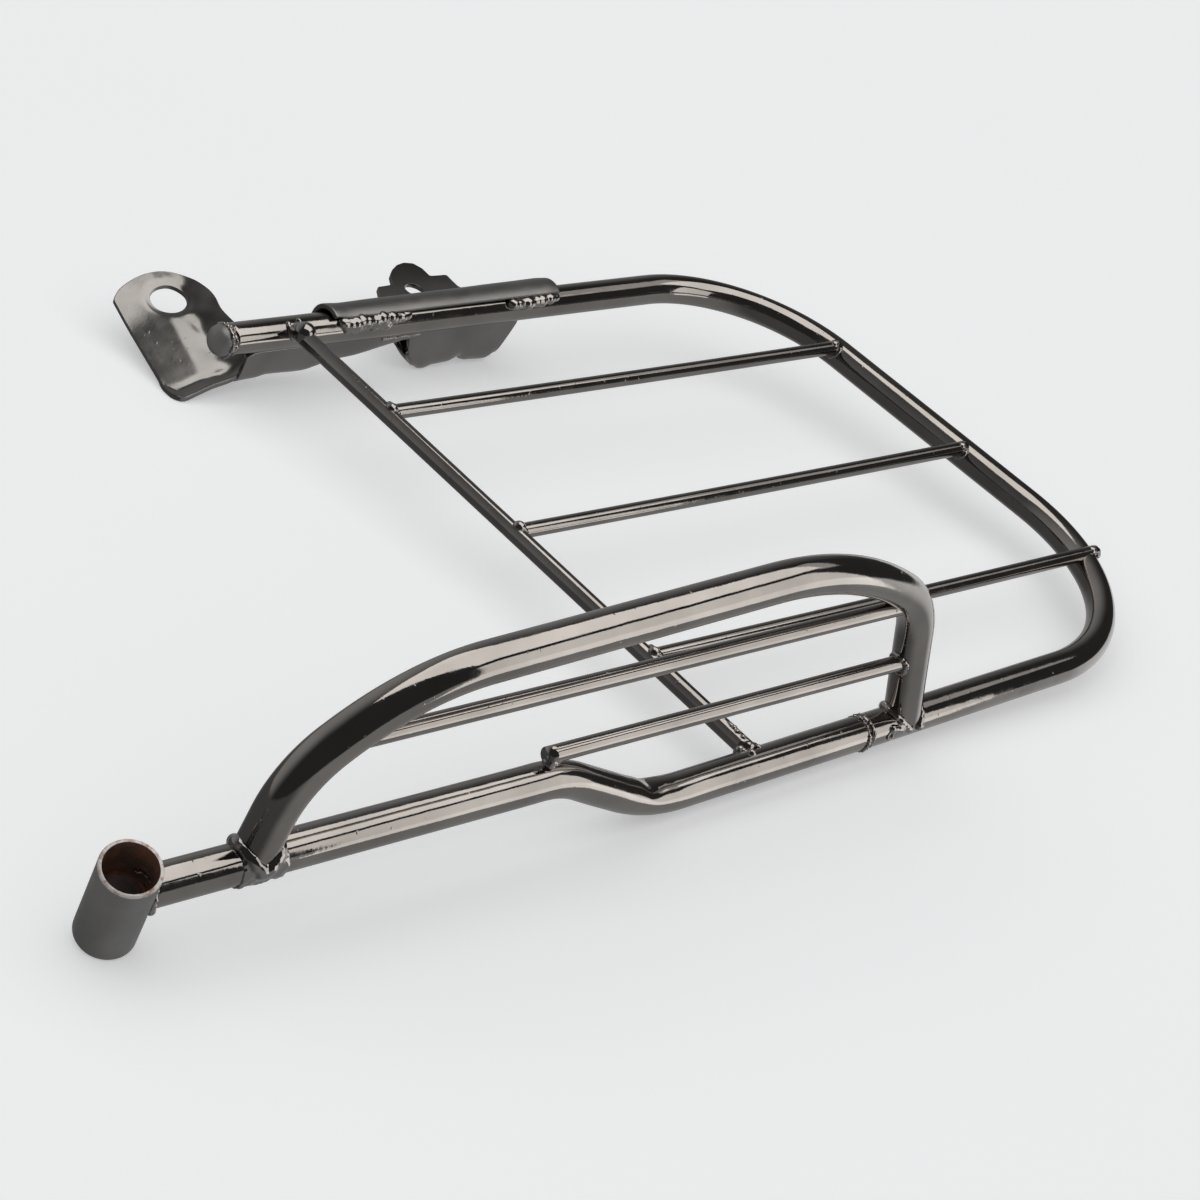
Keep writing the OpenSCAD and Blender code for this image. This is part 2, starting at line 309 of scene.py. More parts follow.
def rusty_bore():
    """Dark, brown, lightly rusted inside of the bush."""
    m = Nodes("rusty_bore")
    m.shader.inputs["Metallic"].default_value = 0.4
    rust = m.ramp(m.noise(180, 5, 0.65), 0, 1, 0.38, 0.66)
    m.link(m.mix(rust, (0.075, 0.055, 0.045), (0.2, 0.09, 0.055)), m.shader.inputs["Base Color"])
    m.link(m.ramp(m.noise(300, 3), 0.3, 0.6), m.shader.inputs["Roughness"])
    m.link(m.bump(m.noise(800, 4), 0.0001), m.shader.inputs["Normal"])
    return m.material


WARM = (0.43, 0.4, 0.375)
tube_finish = gloss_black("tube_black", WARM, 0.05, 0.12, 0.000012, 0.00022)
rod_finish = gloss_black("rod_black", WARM, 0.06, 0.14, 0.000014, 0.00016)
sheet_finish = gloss_black("sheet_black", (0.36, 0.345, 0.33), 0.15, 0.2, 0.00001, 0.00018)
saddle_finish = gloss_black("saddle_black", (0.34, 0.33, 0.32), 0.34, 0.42, 0.00002, 0.00015)
weld_finish = gloss_black("weld_black", (0.46, 0.43, 0.41), 0.05, 0.14, 0.00003, 0.0003, 0.76)
bush_finish = gloss_black("bush_black", (0.24, 0.232, 0.225), 0.36, 0.42, 0.000012, 0.00006, metal=0.55)
rim_finish = bare_rim()
bore_finish = rusty_bore()


# ---------------------------------------------------------------- tubes and rods
def squeeze(points):
    """How bends squeeze a tube. Each point is (place, direction, reach, share of the radius lost)."""

    def shape(p, outward):
        scale = 1.0
        for place, direction, reach, depth in points:
            near = math.exp(-(((p - Vector(place)).length / reach) ** 2))
            facing = max(0.0, outward.dot(Vector(direction).normalized()))
            scale -= depth * near * facing**2
        return scale

    return shape


rail_dents = [
    ((216, -2, 2.2), (0.3, 0, 1), 5.0, 0.2),
    ((221, -2, 1.8), (-0.2, 0, 1), 14.0, 0.1),
    ((171, 0, 20.5), (0, 0, -1), 12.0, 0.08),
    ((171, 0, 20.5), (0, 1, 0), 14.0, -0.05),
    ((218, -2, 2), (0, 1, 0), 14.0, -0.05),
    ((218, -2, 2), (0, -1, 0), 14.0, -0.05),
]
loop_dents = [
    ((514, 36, 0), (0.7, -0.7, 0), 52.0, 0.11),
    ((514, 36, 0), (-0.7, 0.7, 0), 52.0, 0.11),
    ((512, 254, 0), (0.7, 0.7, 0), 40.0, 0.08),
    ((512, 254, 0), (-0.7, -0.7, 0), 40.0, 0.08),
]
hoop_dents = [((92, 0.3, 75), (0.4, 0, -1), 30.0, 0.05), ((320, 2, 70), (-0.7, 0, -0.7), 26.0, 0.06)]


def tube(name, corners, bends, radius, dents):
    """A bent tube, squeezed where it was bent."""
    verts, faces = sweep(centreline(corners, bends), radius, shape=squeeze(dents))
    add(name, to_mesh(name, verts, faces), name, "tube_black", tube_finish)


def rod(name, start, end, radius, sag=0.0, steps=60):
    """A straight rod, with the slight bow that a welded rod has."""
    start, end = Vector(start), Vector(end)
    points = []
    for i in range(steps + 1):
        t = i / steps
        points.append(start.lerp(end, t) + Vector((0, 0, -sag * math.sin(math.pi * t))))
    verts, faces = sweep(points, radius, 32)
    add(name, to_mesh(name, verts, faces), name, "rod_black", rod_finish)


tube("rail_tube", RAIL, RAIL_BENDS, TUBE_R, rail_dents)
tube("loop_tube", LOOP, LOOP_BENDS, TUBE_R, loop_dents)
tube("hoop_tube", HOOP, HOOP_BENDS, HOOP_R, hoop_dents)
rod("cross_rod", (cross_x(3), 3, ROD_Z), (cross_x(268), 268, ROD_Z), CROSS_R)
for node, y in zip(("grid_rod_near", "grid_rod_middle", "grid_rod_far"), GRID_Y):
    rod(node, (cross_x(y), y, ROD_Z), (end_x(y) - 4, y, ROD_Z), ROD_R, 0.3)
rod("hoop_rod_lower", (162, 1.2, LOWER_ROD_Z), (HOOP_RIGHT_X - 14, 1.9, LOWER_ROD_Z), ROD_R)
rod("hoop_rod_upper", (69, 1, UPPER_ROD_Z), (HOOP_RIGHT_X - 27, 1.9, UPPER_ROD_Z + 0.4), ROD_R)


def end_cap():
    """The domed cap on the loop's open end, from (distance along the tube, radius) pairs."""
    flattening = 0.78
    dome = [
        (0.0, 6.35), (2.5, 6.35), (4.5, 6.2), (6.0, 5.85), (7.2, 5.3),
        (8.1, 4.5), (8.9, 3.5), (9.5, 2.4), (9.85, 1.2), (10.0, 0.02),
    ]
    profile = [(along * flattening, radius) for along, radius in dome]
    mesh = to_mesh("loop_end_cap", *lathe((FAR_START, LOOP_WIDTH, 0), (-1, 0, 0), profile, 48))
    add("loop_end_cap", mesh, "loop_end_cap", "tube_black", bush_finish)


end_cap()


# ---------------------------------------------------------------- bush
def mounting_bush():
    """A turned bush: painted outside, filed rim, rusty stepped bore."""
    low, high, mouth, bore, step = -21.5, 15.3, 8.0, 7.0, -0.7
    outside = [(low, bore), (low, BUSH_R - 0.6), (low + 0.2, BUSH_R - 0.2)]
    outside += [(low + 0.6, BUSH_R), (high - 0.5, BUSH_R)]
    rim = [(high - 0.5, BUSH_R), (high - 0.12, BUSH_R - 0.14), (high, BUSH_R - 0.4), (high, mouth + 0.25)]
    inside = [(high, mouth + 0.25), (high - 0.3, mouth), (step + 0.5, mouth), (step, mouth - 0.25)]
    inside += [(step, bore + 0.3), (step - 0.3, bore), (low, bore)]
    verts, faces, kinds = [], [], []
    for kind, profile in enumerate((outside, rim, inside)):
        v, f = lathe(Vector((0, 0, RAIL_RISE)), BUSH_AXIS, profile)
        faces += [tuple(i + len(verts) for i in face) for face in f]
        kinds += [kind] * len(f)
        verts += v
    mesh = to_mesh("mount_bush", verts, faces)
    add("mount_bush", mesh, "mount_bush", "bush_black", bush_finish, rim_finish, bore_finish)
    for polygon, kind in zip(mesh.polygons, kinds):
        polygon.material_index = kind
    mesh.set_sharp_from_angle(angle=math.radians(40))


mounting_bush()


# ---------------------------------------------------------------- sheet bracket
def plate_round_hole(outline, hole_r, rings=34, spokes=240):
    """Flat points around a hole at the origin, out to an outline of straight edges."""
    loops = []
    for j in range(spokes):
        a = 2 * math.pi * j / spokes
        d = Vector((math.cos(a), math.sin(a)))
        reach = hole_r
        for p, q in zip(outline, outline[1:] + outline[:1]):
            e = Vector(q) - Vector(p)
            cross = d.x * e.y - d.y * e.x
            if abs(cross) > 1e-9:
                t = (p[0] * e.y - p[1] * e.x) / cross
                s = (p[0] * d.y - p[1] * d.x) / cross
                if t > 0 and -1e-6 <= s <= 1 + 1e-6:
                    reach = max(reach, t)
        loops.append((d, reach))
    # Each reach is averaged with its neighbours, which softens the outline's corners a little
    reaches = [reach for _, reach in loops]
    for j, (d, reach) in enumerate(loops):
        loops[j] = (d, (reaches[j - 1] + 2 * reach + reaches[(j + 1) % spokes]) / 4)
    points, faces = [], []
    for i in range(rings + 1):
        for d, reach in loops:
            points.append(d * (hole_r + (reach - hole_r) * (i / rings)))
    for i in range(rings):
        for j in range(spokes):
            k = (j + 1) % spokes
            faces.append((i * spokes + j, (i + 1) * spokes + j, (i + 1) * spokes + k, i * spokes + k))
    return points, faces


def thick_sheet(name, verts, faces, node, offset=-1.0, finish=sheet_finish):
    """Sheet metal with its thickness and softly broken edges."""
    piece = add(name, to_mesh(name, verts, faces), node, "sheet_black", finish)
    solid = piece.modifiers.new("thickness", "SOLIDIFY")
    solid.thickness = SHEET * MM
    solid.offset = offset
    soft = piece.modifiers.new("edges", "BEVEL")
    soft.width = EDGE_ROUND * MM
    soft.segments = 3
    soft.limit_method = "ANGLE"
    soft.angle_limit = math.radians(50)
    settle(piece)


EAR_HOLE = Vector((245.1, 315.8, -9.9))
EAR_HOLE_R = 7.25
EAR_ACROSS = Vector((1, 0, 0.26)).normalized()
EAR_NORMAL = Vector((-0.26, -0.18, 1)).normalized()
EAR_UP = EAR_NORMAL.cross(EAR_ACROSS)
EAR_OUTLINE = [
    (-24, -46.5), (-26.6, -43), (-23, -14.6), (-20, 8.6), (-15, 12.2), (-7, 14.6), (0, 14.9), (6, 13.3),
    (10.8, 9.8), (14.4, 4.3), (16, -3), (15.7, -9.2), (14.6, -15), (15, -24), (17, -33), (21, -45),
]
EAR_GAP = 2.2
# Cosines of the turns at which an outline's corner stays sharp and is fully rounded
SHARP_TURN, GENTLE_TURN = 0.84, 0.9
# The ear's height across its trough is added up in small steps to both sides of its middle
TROUGH_STEP = 0.25
TROUGH_HALF = 160


def ease(value, low, high):
    """Rises smoothly from 0 at low to 1 at high."""
    t = min(1.0, max(0.0, (value - low) / (high - low)))
    return t * t * (3 - 2 * t)


def rounded(points, count=6):
    """A closed curve through points: gentle turns are rounded and sharp corners are kept."""
    size, curve = len(points), []
    for i in range(size):
        p0, p1, p2, p3 = (Vector(points[(i + k) % size]) for k in (-1, 0, 1, 2))
        before, here, after = (p1 - p0).normalized(), (p2 - p1).normalized(), (p3 - p2).normalized()
        chord = (p2 - p1).length
        start_pull = min(chord, (p1 - p0).length) * ease(before.dot(here), SHARP_TURN, GENTLE_TURN)
        end_pull = min(chord, (p3 - p2).length) * ease(here.dot(after), SHARP_TURN, GENTLE_TURN)
        m1 = (before + here).normalized() * start_pull
        m2 = (here + after).normalized() * end_pull
        for j in range(count):
            t = j / count
            t2, t3 = t * t, t * t * t
            h = p1 * (2 * t3 - 3 * t2 + 1) + m1 * (t3 - 2 * t2 + t) + p2 * (3 * t2 - 2 * t3) + m2 * (t3 - t2)
            curve.append(tuple(h))
    return curve


def trough_heights():
    """Heights across the ear, added up from its slope: flat, a shallow valley, a steep right flank."""
    heights, height = [], 0.0
    for i in range(-TROUGH_HALF, TROUGH_HALF + 1):
        across = i * TROUGH_STEP
        heights.append(height)
        slope = 0.1 - 0.15 * ease(across, -5.5, -1.5) + 0.36 * ease(across, 3.0, 12.0)
        height += TROUGH_STEP * slope
    middle = heights[TROUGH_HALF]
    return [h - middle for h in heights]


def above_floor(point, gap):
    """A point lifted, where it has to be, to keep a gap above the floor."""
    sunk = cad_low[2] / MM + gap - (REST @ point).z
    return point + UP * max(0.0, sunk)


def ear():
    """The cupped left ear: a trough runs from its hole down to the corner that rests on the floor."""
    flat, faces = plate_round_hole(rounded(EAR_OUTLINE), EAR_HOLE_R)
    trough = Vector((-0.16, -0.987))
    heights = trough_heights()
    fold = 41
    verts = []
    for p in flat:
        across = -(p.x * trough.y - p.y * trough.x)
        place = min(2.0 * TROUGH_HALF - 1, max(0.0, across / TROUGH_STEP + TROUGH_HALF))
        k = int(place)
        cup = heights[k] + (heights[k + 1] - heights[k]) * (place - k)
        groove = 0.3 * math.exp(-(((p.y + fold) / 1.3) ** 2)) * (1 - ease(across, 2, 10))
        lip = 0.03 * max(0.0, -p.y - fold) ** 2 - groove
        ragged = 0.35 * noise.noise(Vector((p.x, p.y, 0)) * 0.12) * ease(across, -2, 4)
        rim = 0.5 * math.exp(-(((p.length - EAR_HOLE_R) / 2.0) ** 2))
        lift = cup * ease(-p.y, -16, 10) + lip + ragged - rim - 0.4
        spot = EAR_HOLE + EAR_ACROSS * p.x + EAR_UP * p.y + EAR_NORMAL * lift
        verts.append(above_floor(spot, EAR_GAP))
    return verts, faces


def strip(sections):
    """A surface through equal-length cross-sections."""
    width = len(sections[0])
    verts = [v for section in sections for v in section]
    faces = []
    for i in range(len(sections) - 1):
        for j in range(width - 1):
            faces.append((i * width + j, i * width + j + 1, (i + 1) * width + j + 1, (i + 1) * width + j))
    return verts, faces


def along_points(points, t):
    """Smooth height at t along a list of (place, value) pairs."""
    for (a, va), (b, vb) in zip(points, points[1:]):
        if t <= b:
            s = max(0.0, (t - a) / (b - a))
            return va + (vb - va) * s * s * (3 - 2 * s)
    return points[-1][1]


def round_section(points, count):
    """Evenly spaced points along a rounded outline through (y, z) corners."""
    path = [Vector((0, *p)) for p in points]
    for _ in range(3):
        cut = [path[0]]
        for a, b in zip(path, path[1:]):
            cut += [a.lerp(b, 0.25), a.lerp(b, 0.75)]
        path = cut + [path[-1]]
    lengths = [0.0]
    for a, b in zip(path, path[1:]):
        lengths.append(lengths[-1] + (b - a).length)
    out, k = [], 0
    for i in range(count):
        d = lengths[-1] * i / (count - 1)
        while k < len(path) - 2 and lengths[k + 1] < d:
            k += 1
        out.append(path[k].lerp(path[k + 1], (d - lengths[k]) / max(1e-9, lengths[k + 1] - lengths[k])))
    return out


# Lower and upper edges of the strap, as (place along the guard, height) pairs
STRAP_LOW = [
    (232, -21.6), (238, -18.8), (247, -19.8), (258, -19.2),
    (264, -18), (281, -18.6), (300, -14.6), (337, -9),
]
STRAP_TOP = [(236, -12), (256, -5), (337, -4.4)]


def strap(steps=53):
    """The pressed channel under the far side: a front wall that rolls under into a shelf."""
    sections = []
    for i in range(steps + 1):
        x = 249 + 88 * i / steps
        low = along_points(STRAP_LOW, x)
        top = along_points(STRAP_TOP, x)
        wall = 270.6 + 0.8 * noise.noise(Vector((x * 0.03, 0, 0)))
        corners = [(wall, top), (wall + 0.3, (top + low) / 2), (wall + 1.6, low + 0.6), (wall + 6, low)]
        corners += [(wall + 12, low + 1.0), (284, low + 2)]
        sections.append([Vector((x, p.y, p.z)) for p in round_section(corners, 30)])
    return strip(sections)


# Lower edge of the lug's channel, as (place along the guard, height) pairs, and its (y, z) cross-section
LUG_LOW = [
    (334, -20), (340, -25.2), (345, -27.2), (352, -25.6), (361, -25.2),
    (368.5, -22.9), (374, -25.4), (387, -26), (391, -24), (396, -22),
]
LUG_SECTION = [
    (273.2, -4.5), (273.0, -9), (273.4, -18), (274.0, -25), (276.5, -27.6),
    (280, -26.5), (282, -20), (283, -12), (287, -8.8), (292, -8.2),
]
LUG_GAP = 1.9


def lug_channel(steps=47):
    """The deep rolled channel that hangs to the floor under the far side."""
    sections = []
    for i in range(steps + 1):
        t = i / steps
        low = along_points(LUG_LOW, 336 + 56 * t)
        section = []
        for p in round_section(LUG_SECTION, 40):
            depth = max(0.0, (-8 - p.z) / 19)
            z = p.z + depth * (low + 27)
            left = 335 + 9 * depth**2
            right = 394 - 5 * depth
            section.append(above_floor(Vector((left + (right - left) * t, p.y, z)), LUG_GAP))
        sections.append(section)
    return strip(sections)


LUG_HOLE = Vector((361, 301, -8))
LUG_HOLE_R = 4.5
LUG_OUTLINE = [
    (337, 284), (392, 284), (390, 293), (384.5, 300), (384.5, 308.6),
    (375.8, 309.2), (375.2, 314), (372.6, 317.6), (368, 318.6), (363.5, 317.6),
    (359, 315), (355.8, 312), (352.5, 306), (344, 305.5), (337.5, 295),
]


def lug_tab():
    """The holed tab behind the far side."""
    outline = [(x - LUG_HOLE.x, y - LUG_HOLE.y) for x, y in LUG_OUTLINE]
    flat, faces = plate_round_hole(outline, LUG_HOLE_R)
    verts = []
    for p in flat:
        bend = 0.004 * max(0.0, p.y) ** 2 + 0.4 * noise.noise(Vector((p.x, p.y, 9)) * 0.07)
        verts.append(LUG_HOLE + Vector((p.x, p.y, bend)))
    return verts, faces


SADDLE_START = 287.5
SADDLE_LENGTH = 121


def saddle(steps=89, turns=39):
    """The sheet wrapped over the far side, its left end a little open and its right end standing prouder."""
    sections = []
    for i in range(steps + 1):
        t = i / steps
        x = SADDLE_START + SADDLE_LENGTH * t
        mouth = 0.6 * math.exp(-((t / 0.05) ** 2))
        wave = 0.25 * noise.noise(Vector((x * 0.04, 3, 0)))
        r = 8.5 + 1.3 * t + wave + mouth - 0.4 * math.exp(-(((1 - t) / 0.03) ** 2))
        edge = 127 - 7 * mouth
        section = []
        for j in range(turns + 1):
            a = math.radians(edge - (edge + 4) * j / turns)
            section.append(Vector((x, LOOP_WIDTH + 0.5 + r * math.cos(a), 0.3 + r * math.sin(a))))
        for j in range(1, 7):
            section.append(Vector((x, LOOP_WIDTH + 0.5 + r, -0.4 - 1.0 * j)))
        sections.append(section)
    return strip(sections)


thick_sheet("strap_with_ear", *ear(), "strap_with_ear")
thick_sheet("strap_channel", *strap(), None, offset=1.0)
thick_sheet("rear_lug", *lug_tab(), "rear_lug")
thick_sheet("rear_lug_channel", *lug_channel(), None, offset=1.0)
thick_sheet("tube_saddle", *saddle(), "tube_saddle", offset=1.0, finish=saddle_finish)


# ---------------------------------------------------------------- welds
def cope(foot, along, leg_r, axis_point, axis, tube_r, count):
    """Points where the skin of a leg meets the skin of a tube."""
    foot, along = Vector(foot), Vector(along).normalized()
    axis_point, axis = Vector(axis_point), Vector(axis).normalized()
    side = along.orthogonal().normalized()
    other = along.cross(side)
    across = along - axis * along.dot(axis)
    points = []
    for i in range(count):
        a = 2 * math.pi * i / count
        start = foot + (side * math.cos(a) + other * math.sin(a)) * leg_r
        w = start - axis_point
        w -= axis * w.dot(axis)
        aa, bb, cc = across.dot(across), 2 * w.dot(across), w.dot(w) - tube_r * tube_r
        reach = bb * bb - 4 * aa * cc
        if reach >= 0:
            points.append(start + along * (math.sqrt(reach) - bb) / (2 * aa))
    return points


def ring(centre, axis, radius, count=30):
    """Points round a tube."""
    axis = Vector(axis).normalized()
    side = axis.orthogonal().normalized()
    other = axis.cross(side)
    angles = [2 * math.pi * i / count for i in range(count)]
    return [Vector(centre) + (side * math.cos(a) + other * math.sin(a)) * radius for a in angles]


def line(start, end, count):
    """Evenly spaced points from start to end."""
    return [Vector(start).lerp(Vector(end), i / (count - 1)) for i in range(count)]


# Drops above this radius, in millimetres, are made from a finer ball
BIG_DROP = 2.4


def weld(name, runs, seed, grain=0.00032, calm_steps=4):
    """Welds as overlapping drops that have run together. Each run is (points, drop radius, unevenness)."""
    rng = random.Random(seed)
    bm = bmesh.new()
    for points, size, uneven in runs:
        fineness = 3 if size > BIG_DROP else 2
        for p in points:
            jitter = Vector([rng.uniform(-1, 1) for _ in range(3)]) * size * uneven * 0.5
            r = size * (1 + rng.uniform(-uneven, uneven)) * MM
            centre = Matrix.Translation((REST @ (p + jitter)) * MM)
            bmesh.ops.create_icosphere(bm, subdivisions=fineness, radius=r, matrix=centre)
    mesh = bpy.data.meshes.new(name)
    bm.to_mesh(mesh)
    bm.free()
    piece = add(name, mesh, name, "weld_black", weld_finish)
    melt = piece.modifiers.new("melt", "REMESH")
    melt.mode = "VOXEL"
    melt.voxel_size = grain
    calm = piece.modifiers.new("calm", "SMOOTH")
    calm.factor = 0.5
    calm.iterations = calm_steps
    settle(piece)
    piece.data.materials.clear()
    piece.data.materials.append(weld_finish)


near_axis = Vector((1, NEAR_LEAN, 0))
end_axis = Vector((END_LEAN, 1, 0))
left_leg = Vector(HOOP[1]) - Vector(HOOP[0])
right_leg = Vector(HOOP[4]) - Vector(HOOP[5])
seam = Vector(LOOP[0])
far_end = Vector(LOOP[3])

weld("bush_weld", [
    (cope((0, 0, RAIL_RISE), X_AXIS, TUBE_R, (0, 0, RAIL_RISE), BUSH_AXIS, BUSH_R, 26), 1.7, 0.4),
    (line((9.6, 2, 13.8), (13.5, 1, 15.4), 6), 2.0, 0.3),
    (line((10.6, 4, 8.5), (10.2, 2.5, 13), 6), 1.3, 0.3),
], 1)
weld("seam_weld", [
    (ring(seam - near_axis * 1.6, near_axis, TUBE_R - 0.15), 0.85, 0.35),
    (ring(seam + near_axis * 1.4, near_axis, TUBE_R - 0.1), 0.7, 0.4),
], 2, 0.00025)
weld("end_cap_weld", [
    (ring(far_end - X_AXIS * 2.0, X_AXIS, TUBE_R - 0.2), 0.9, 0.45),
    (ring(far_end - X_AXIS * 0.2, X_AXIS, TUBE_R - 0.25), 0.8, 0.5),
], 3, 0.00025)
# A broad smooth pad wraps the hoop's left foot and the front of the rail under it
pad = []
for i in range(9):
    for j in range(7):
        height = -5.2 + 1.5 * j
        front = -math.sqrt(40.3 - height**2) + 0.7
        pad.append(Vector((39.8 + 1.9 * i - 0.12 * height, front, RAIL_RISE + height)))
weld("hoop_left_weld", [
    (cope(HOOP[0], left_leg, HOOP_R - 0.5, HOOP[0], X_AXIS, TUBE_R, 60), 2.5, 0.08),
    (pad, 1.5, 0.15),
], 4, 0.0004, 16)
weld("hoop_right_weld", [
    (cope(HOOP[5], right_leg, HOOP_R, HOOP[5], near_axis, TUBE_R, 44), 1.9, 0.14),
    (line((343, -2.6, 3.0), (352, -3.0, 1.0), 14), 1.6, 0.15),
    (ring((342.5, -3.9, 0.6), (0, -1, 0.3), 1.5, 16), 0.5, 0.1),
], 5, 0.00032, 8)
near_foot = Vector((CROSS_X, near_y(CROSS_X), 0))
far_foot = Vector((CROSS_X, LOOP_WIDTH, 0))
weld("cross_rod_near_weld", [
    (cope((cross_x(4), 4, ROD_Z), Y_AXIS, CROSS_R, near_foot, near_axis, TUBE_R, 18), 1.7, 0.35),
    (line((cross_x(7) - 0.4, 7, ROD_Z + 2.9), (cross_x(24), 24, ROD_Z + 2.7), 18), 1.0, 0.35),
], 6, 0.00025)
weld("cross_rod_far_weld", [
    (cope((cross_x(268), 268, ROD_Z), -Y_AXIS, CROSS_R, far_foot, X_AXIS, TUBE_R, 30), 1.2, 0.08),
    ([Vector((cross_x(262.5), 262.8, ROD_Z + 1.5))] * 2, 4.4, 0.04),
], 7, 0.00032, 8)
left_collars, left_drops, right_collars, right_drops = [], [], [], []
for y in GRID_Y:
    on_cross, on_end = Vector((cross_x(y), y, ROD_Z)), Vector((end_x(y), y, 0))
    collar = cope((cross_x(y) + 2, y, ROD_Z), X_AXIS, ROD_R, on_cross, Y_AXIS, CROSS_R, 16)
    left_collars.append((collar, 1.35, 0.35))
    left_drops.append(([Vector((cross_x(y) + 0.6, y - 1, ROD_Z + 2.6))] * 4, 2.1, 0.3))
    collar = cope((end_x(y) - 5, y, ROD_Z - 1.4), -X_AXIS, ROD_R - 0.4, on_end, end_axis, TUBE_R, 18)
    right_collars.append((collar, 1.2, 0.25))
    right_drops.append(([Vector((end_x(y) - 7.4, y - 0.6, ROD_Z + 1.9))] * 4, 1.6, 0.35))
weld("grid_rod_left_welds", left_collars + left_drops, 8, 0.00028)
weld("grid_rod_right_welds", right_collars + right_drops, 9, 0.00028)
lower_end = Vector((342, 2.4, LOWER_ROD_Z))
upper_end = Vector((329.6, 2.3, UPPER_ROD_Z))
weld("hoop_rod_lower_welds", [
    (line((163.4, 0.6, 26.8), (163.6, 0.4, 30.4), 5), 2.1, 0.25),
    (line((166.5, 0.8, 27.4), (169, 1, 28.2), 4), 1.2, 0.3),
    (cope((338, 1.9, LOWER_ROD_Z), -X_AXIS, ROD_R, lower_end, right_leg, HOOP_R, 16), 1.5, 0.3),
], 10, 0.00028)
weld("hoop_rod_upper_welds", [
    (line((72, -1.5, 61.2), (86, -1, 63.4), 12), 1.2, 0.4),
    (line((74, 3, 61.2), (88, 3, 64.2), 10), 1.3, 0.3),
    (cope((326, 1.9, UPPER_ROD_Z + 0.4), -X_AXIS, ROD_R, upper_end, right_leg, HOOP_R, 16), 1.4, 0.3),
], 11, 0.00028)
weld("saddle_weld_left", [
    (line((291.5, LOOP_WIDTH - 4.6, 4.8), (325, LOOP_WIDTH - 4.4, 5.0), 30), 2.4, 0.06),
    (line((292.5, LOOP_WIDTH - 5.2, 4.2), (324, LOOP_WIDTH - 5.0, 5.0), 13), 2.5, 0.35),
    (line((294, LOOP_WIDTH - 5.4, 2.4), (314, LOOP_WIDTH - 5.4, 2.6), 7), 2.4, 0.3),
], 12, 0.0003, 26)
weld("saddle_weld_right", [
    (line((382, LOOP_WIDTH - 4.6, 5.0), (407, LOOP_WIDTH - 4.6, 5.2), 22), 2.1, 0.06),
    (line((383, LOOP_WIDTH - 5.2, 4.8), (406, LOOP_WIDTH - 5.2, 5.0), 10), 2.3, 0.35),
], 13, 0.0003, 26)
weld("strap_weld", [(line((318, 269.4, -6.6), (337, 269.4, -6.4), 16), 1.1, 0.25)], 14, 0.00028)


# ---------------------------------------------------------------- floor, light, camera
def floor_material():
    """Matt pale sweep with a little light of its own, so that shadows stay faint."""
    m = Nodes("pale_floor")
    clouds = m.ramp(m.noise(3, 2), 0, 1, 0.3, 0.7)
    m.link(m.mix(clouds, (0.79, 0.795, 0.8), (0.8, 0.805, 0.81)), m.shader.inputs["Base Color"])
    m.shader.inputs["Roughness"].default_value = 0.9
    m.shader.inputs["Emission Color"].default_value = (0.99, 0.995, 1.0, 1)
    m.shader.inputs["Emission Strength"].default_value = 0.34
    m.shader.inputs["Specular IOR Level"].default_value = 0.0
    return m.material


FLOOR_HALF = 6.0
floor_mesh = bpy.data.meshes.new("floor")
corners = ((-1, -1), (1, -1), (1, 1), (-1, 1))
floor_corners = [(FLOOR_HALF * a, FLOOR_HALF * b, cad_low.z) for a, b in corners]
floor_mesh.from_pydata(floor_corners, [], [(0, 1, 2, 3)])
floor = bpy.data.objects.new("floor", floor_mesh)
floor_mesh.materials.append(floor_material())
bpy.context.scene.collection.objects.link(floor)
# The gloss mirrors the table half of the world instead, which is easier to shade
floor.visible_glossy = False

# The two directions the studio is laid out in: towards the camera and towards its right, along the floor
TOWARDS = Vector((-0.790, -0.613, 0.0))
RIGHTWARDS = Vector((0.613, -0.790, 0.0))


def softbox(name, centre, across, up_edge, width, height, radiance):
    """A glowing sheet that shows in the gloss and leaves the floor's even light alone."""
    across, up_edge = across.normalized(), up_edge.normalized()
    data = bpy.data.lights.new(name, "AREA")
    data.shape = "RECTANGLE"
    data.size, data.size_y = width, height
    data.energy = radiance * math.pi * width * height
    data.color = (1.0, 0.985, 0.96)
    light = bpy.data.objects.new(name, data)
    facing = across.cross(up_edge)
    light.matrix_world = Matrix.Translation(centre) @ Matrix((across, up_edge, facing)).transposed().to_4x4()
    light.visible_diffuse = False
    light.visible_camera = False
    bpy.context.scene.collection.objects.link(light)


def fill_light():
    """Wide, soft light from above that doesn't show in the gloss."""
    data = bpy.data.lights.new("fill", "SUN")
    data.energy = 1.75
    data.angle = math.radians(120)
    sun = bpy.data.objects.new("fill", data)
    sun.visible_glossy = False
    sun.rotation_euler = (math.radians(10), math.radians(-12), 0)
    bpy.context.scene.collection.objects.link(sun)


overhead_at = TOWARDS * -0.50 + RIGHTWARDS * 0.34 + UP * 0.8
side_at = TOWARDS * -0.25 + RIGHTWARDS * 0.7 + UP * 0.14
far_at = TOWARDS * -1.02 + RIGHTWARDS * 0.75 + UP * 0.8
softbox("overhead", overhead_at, RIGHTWARDS, -TOWARDS, width=1.18, height=0.8, radiance=1.42)
softbox("side", side_at, -TOWARDS, UP, width=0.40, height=0.62, radiance=1.12)
softbox("far", far_at, RIGHTWARDS, -TOWARDS, width=0.62, height=0.34, radiance=0.5)
fill_light()


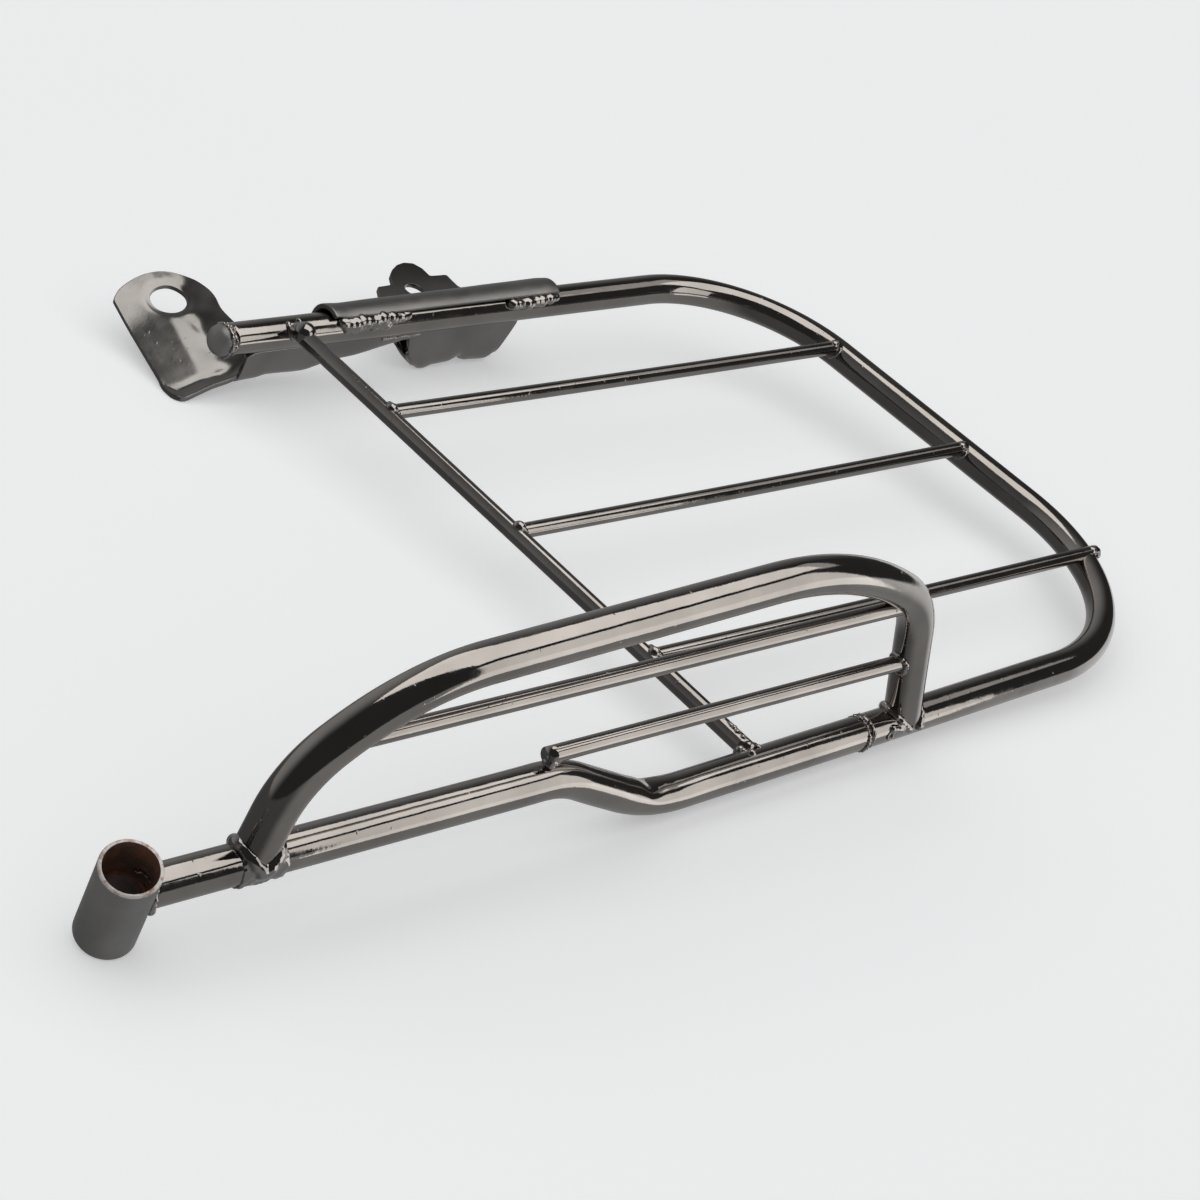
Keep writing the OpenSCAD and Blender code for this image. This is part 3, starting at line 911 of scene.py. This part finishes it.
def studio():
    """A dim room: a pale wall to the left, and a table top that mirrors brighter away from the camera."""
    world = bpy.data.worlds.new("studio")
    world.use_nodes = True
    tree = world.node_tree
    direction = tree.nodes.new("ShaderNodeTexCoord").outputs["Generated"]

    def facing(vector, low, high, dim, bright):
        """Brightness that rises from dim to bright as a direction nears a vector."""
        dot = tree.nodes.new("ShaderNodeVectorMath")
        dot.operation = "DOT_PRODUCT"
        dot.inputs[1].default_value = vector
        tree.links.new(direction, dot.inputs[0])
        ramp = tree.nodes.new("ShaderNodeMapRange")
        ramp.interpolation_type = "SMOOTHSTEP"
        for socket, value in zip(("From Min", "From Max", "To Min", "To Max"), (low, high, dim, bright)):
            ramp.inputs[socket].default_value = value
        tree.links.new(dot.outputs["Value"], ramp.inputs["Value"])
        return ramp.outputs["Result"]

    wall = facing(TOWARDS * -0.5 + RIGHTWARDS * -0.87, 0.2, 0.95, 0.035, 0.34)
    far_table = facing(TOWARDS * -0.5 + RIGHTWARDS * 0.87, -0.3, 0.4, 0.1, 0.3)
    bright_table = facing(TOWARDS * -0.8 + RIGHTWARDS * 0.6, 0.72, 0.96, 0.0, 0.5)
    total = tree.nodes.new("ShaderNodeMath")
    total.operation = "ADD"
    tree.links.new(far_table, total.inputs[0])
    tree.links.new(bright_table, total.inputs[1])
    table = total.outputs["Value"]
    level = facing(UP, -0.04, 0.04, 0.0, 1.0)
    blend = tree.nodes.new("ShaderNodeMix")
    tree.links.new(level, blend.inputs["Factor"])
    tree.links.new(table, blend.inputs["A"])
    tree.links.new(wall, blend.inputs["B"])
    tree.links.new(blend.outputs["Result"], tree.nodes["Background"].inputs["Strength"])
    tree.nodes["Background"].inputs["Color"].default_value = (0.98, 0.99, 1.0, 1)
    bpy.context.scene.world = world


studio()
bpy.context.scene.view_settings.view_transform = "Standard"

CAMERA_AT = Vector((-0.49914, -0.51099, 0.50932))
AZIMUTH, ELEVATION, ROLL = math.radians(-52.2), math.radians(27.66), math.radians(-19.86)
LENS = 93.0


def place_camera():
    """The camera, aimed from its azimuth, elevation and roll."""
    back = Vector((
        math.sin(AZIMUTH) * math.cos(ELEVATION),
        -math.cos(AZIMUTH) * math.cos(ELEVATION),
        math.sin(ELEVATION),
    ))
    level_up = (UP - back * back.z).normalized()
    level_right = level_up.cross(back)
    up = level_up * math.cos(ROLL) + level_right * math.sin(ROLL)
    right = up.cross(back)
    data = bpy.data.cameras.new("camera")
    data.sensor_width = 36
    data.lens = LENS
    camera = bpy.data.objects.new("camera", data)
    camera.matrix_world = Matrix.Translation(CAMERA_AT) @ Matrix((right, up, back)).transposed().to_4x4()
    bpy.context.scene.collection.objects.link(camera)
    bpy.context.scene.camera = camera


place_camera()
